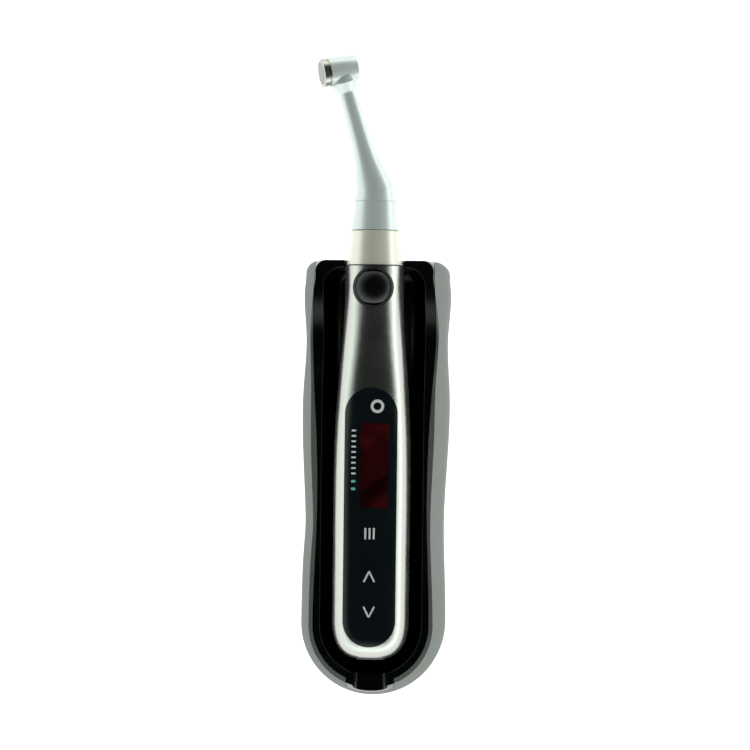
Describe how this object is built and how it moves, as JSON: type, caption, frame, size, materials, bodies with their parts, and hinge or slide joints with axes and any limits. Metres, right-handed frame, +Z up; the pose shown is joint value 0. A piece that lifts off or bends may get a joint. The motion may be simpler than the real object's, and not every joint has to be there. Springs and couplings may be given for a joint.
{
  "type": "endodontic motor",
  "caption": "Cordless endodontic motor handpiece with swivelling angled head and push-cap chuck, lying in a grey charging base with a black tray.",
  "frame": {"origin": "middle of the grip pad's underside, on the table", "axes": "+Y along the handpiece towards the contra-angle, +X to the user's right, +Z up"},
  "size_m": [0.047, 0.2021, 0.0556],
  "materials": {
    "base_grey": "satin",
    "tray_black": "gloss",
    "soft_rubber": "matte",
    "inner_black": "matte",
    "inner_white": "matte",
    "screw_steel": "satin",
    "board_green": "satin",
    "socket_steel": "satin",
    "lead_orange": "matte",
    "contact_gold": "polished",
    "handle_champagne": "satin anodised",
    "tail_grey": "satin",
    "panel_black": "gloss",
    "window_red": "gloss",
    "display_dark": "gloss",
    "cell_wrap": "gloss",
    "tab_nickel": "satin",
    "motor_steel": "satin",
    "collar_steel": "polished",
    "satin_steel": "satin",
    "button_black": "gloss",
    "shaft_steel": "ground",
    "bearing_steel": "polished",
    "contra_silver": "satin",
    "ring_brass": "satin",
    "cap_ring_steel": "polished",
    "spring_steel": "satin",
    "cap_grey": "matte"
  },
  "bodies": {
    "base": {"base_shell": "base_grey", "tray": "tray_black", "rest_pads": "soft_rubber", "bottom_plate": "inner_black", "plate_screws": "screw_steel", "grip_pad": "soft_rubber", "contact_block": "inner_white", "charge_board": "board_green", "board_screws": "screw_steel", "usb_socket": "socket_steel", "charge_lead": "lead_orange"},
    "charge_pin_left": {"charge_pin_left": "contact_gold"},
    "charge_pin_right": {"charge_pin_right": "contact_gold"},
    "handpiece": {"upper_shell": "handle_champagne", "lower_shell": "handle_champagne", "handle_screws": "screw_steel", "tail_cap": "tail_grey", "contact_pads": "contact_gold", "panel_lens": "panel_black", "display_window": "window_red", "display_module": "display_dark", "main_board": "board_green", "button_cup": "inner_black", "button_switch": "inner_white", "battery": "cell_wrap", "battery_tabs": "tab_nickel", "cell_cradle": "inner_white", "motor_can": "motor_steel", "motor_cradle": "inner_white", "gearhead": "motor_steel", "collar_gasket": "soft_rubber", "neck_collar": "collar_steel", "motor_spigot": "satin_steel"},
    "power_button": {"power_button": "button_black"},
    "motor_rotor": {"motor_shaft": "shaft_steel"},
    "swivel_ring": {"friction_ring": "soft_rubber"},
    "contra_angle": {"contra_sleeve": "contra_silver", "drive_bearing": "bearing_steel", "neck_body": "contra_silver", "neck_bearings": "bearing_steel", "head_housing": "contra_silver", "head_ring": "ring_brass", "cap_ring": "cap_ring_steel", "cap_spring": "spring_steel", "head_bearings": "bearing_steel"},
    "push_cap": {"push_cap": "cap_grey"},
    "drive_gear": {"drive_shaft": "shaft_steel"},
    "neck_gear": {"neck_shaft": "shaft_steel"},
    "chuck": {"chuck_spindle": "shaft_steel", "latch_plate": "spring_steel"}
  },
  "joints": [
    {"name": "charge_pin_left_press", "type": "slide", "parent": "base", "child": "charge_pin_left", "axis": [0, 0.1219, -0.9925], "range_m": [0, 0.0006], "stiffness_N_per_m": 250},
    {"name": "charge_pin_right_press", "type": "slide", "parent": "base", "child": "charge_pin_right", "axis": [0, 0.1219, -0.9925], "range_m": [0, 0.0006], "stiffness_N_per_m": 250},
    {"name": "handpiece_lift", "type": "slide", "parent": "base", "child": "handpiece", "axis": [0, -0.1219, 0.9925], "range_m": [0, 0.06]},
    {"name": "power_button_press", "type": "slide", "parent": "handpiece", "child": "power_button", "axis": [0, 0.1219, -0.9925], "range_m": [0, 0.0006], "stiffness_N_per_m": 1500},
    {"name": "motor_spin", "type": "hinge", "parent": "handpiece", "child": "motor_rotor", "pos_m": [0, 0.07523, 0.03962], "axis": [0, 0.9925, 0.1219], "continuous": true},
    {"name": "contra_swivel", "type": "hinge", "parent": "handpiece", "child": "swivel_ring", "pos_m": [0, 0.07523, 0.03962], "axis": [0, 0.9925, 0.1219], "continuous": true},
    {"name": "contra_pull_off", "type": "slide", "parent": "swivel_ring", "child": "contra_angle", "axis": [0, 0.9925, 0.1219], "range_m": [0, 0.014]},
    {"name": "push_cap_press", "type": "slide", "parent": "contra_angle", "child": "push_cap", "axis": [0.9388, 0.2023, -0.2788], "range_m": [0, 0.0004], "stiffness_N_per_m": 3000},
    {"name": "drive_spin", "type": "hinge", "parent": "contra_angle", "child": "drive_gear", "pos_m": [0, 0.08754, 0.04113], "axis": [0, 0.9925, 0.1219], "continuous": true},
    {"name": "neck_spin", "type": "hinge", "parent": "contra_angle", "child": "neck_gear", "pos_m": [0, 0.08754, 0.04113], "axis": [-0.2784, 0.9383, 0.2053], "continuous": true},
    {"name": "chuck_spin", "type": "hinge", "parent": "contra_angle", "child": "chuck", "pos_m": [-0.01119, 0.12526, 0.04938], "axis": [-0.9388, -0.2023, 0.2788], "continuous": true}
  ],
  "couplings": [
    {"joint": "drive_spin", "follows": "motor_spin", "ratio": 1},
    {"joint": "neck_spin", "follows": "motor_spin", "ratio": 1},
    {"joint": "chuck_spin", "follows": "motor_spin", "ratio": 0.5}
  ]
}
